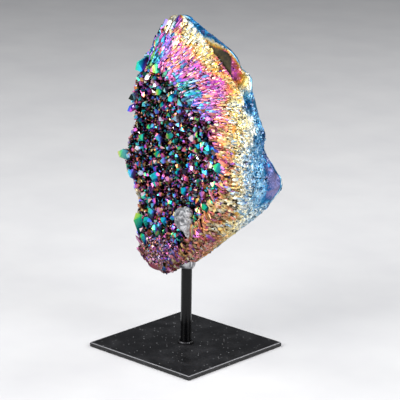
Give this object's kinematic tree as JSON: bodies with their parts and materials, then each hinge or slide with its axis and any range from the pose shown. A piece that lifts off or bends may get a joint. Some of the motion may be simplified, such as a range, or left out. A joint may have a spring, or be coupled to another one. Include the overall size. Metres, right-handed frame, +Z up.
{
  "type": "aura amethyst cluster on a stand",
  "caption": "Broken piece of amethyst geode crust with a metallic rainbow coating, crystals on one face, held upright on a round post over a square black plate.",
  "frame": {"origin": "middle of the base plate's underside", "axes": "+Z up along the post, -Y the way the crystal face looks, +X towards the broken side of the stone"},
  "size_m": [0.1103, 0.1, 0.247],
  "materials": {
    "satin_black_steel": "satin black with dust and fine scratches",
    "gloss_black_steel": "gloss black",
    "bright_weld": "worn to bright metal along its rim",
    "aura_quartz": "metallic rainbow film over quartz, from teal and magenta on the crystals to gold, white and deep blue at the skin",
    "grey_resin": "wrinkled, half gloss"
  },
  "bodies": {
    "root": {"base_plate": "satin_black_steel", "post": "gloss_black_steel", "weld_ring": "bright_weld", "amethyst_cluster": "aura_quartz", "filler_patch": "grey_resin", "glue_collar": "grey_resin"}
  },
  "joints": []
}
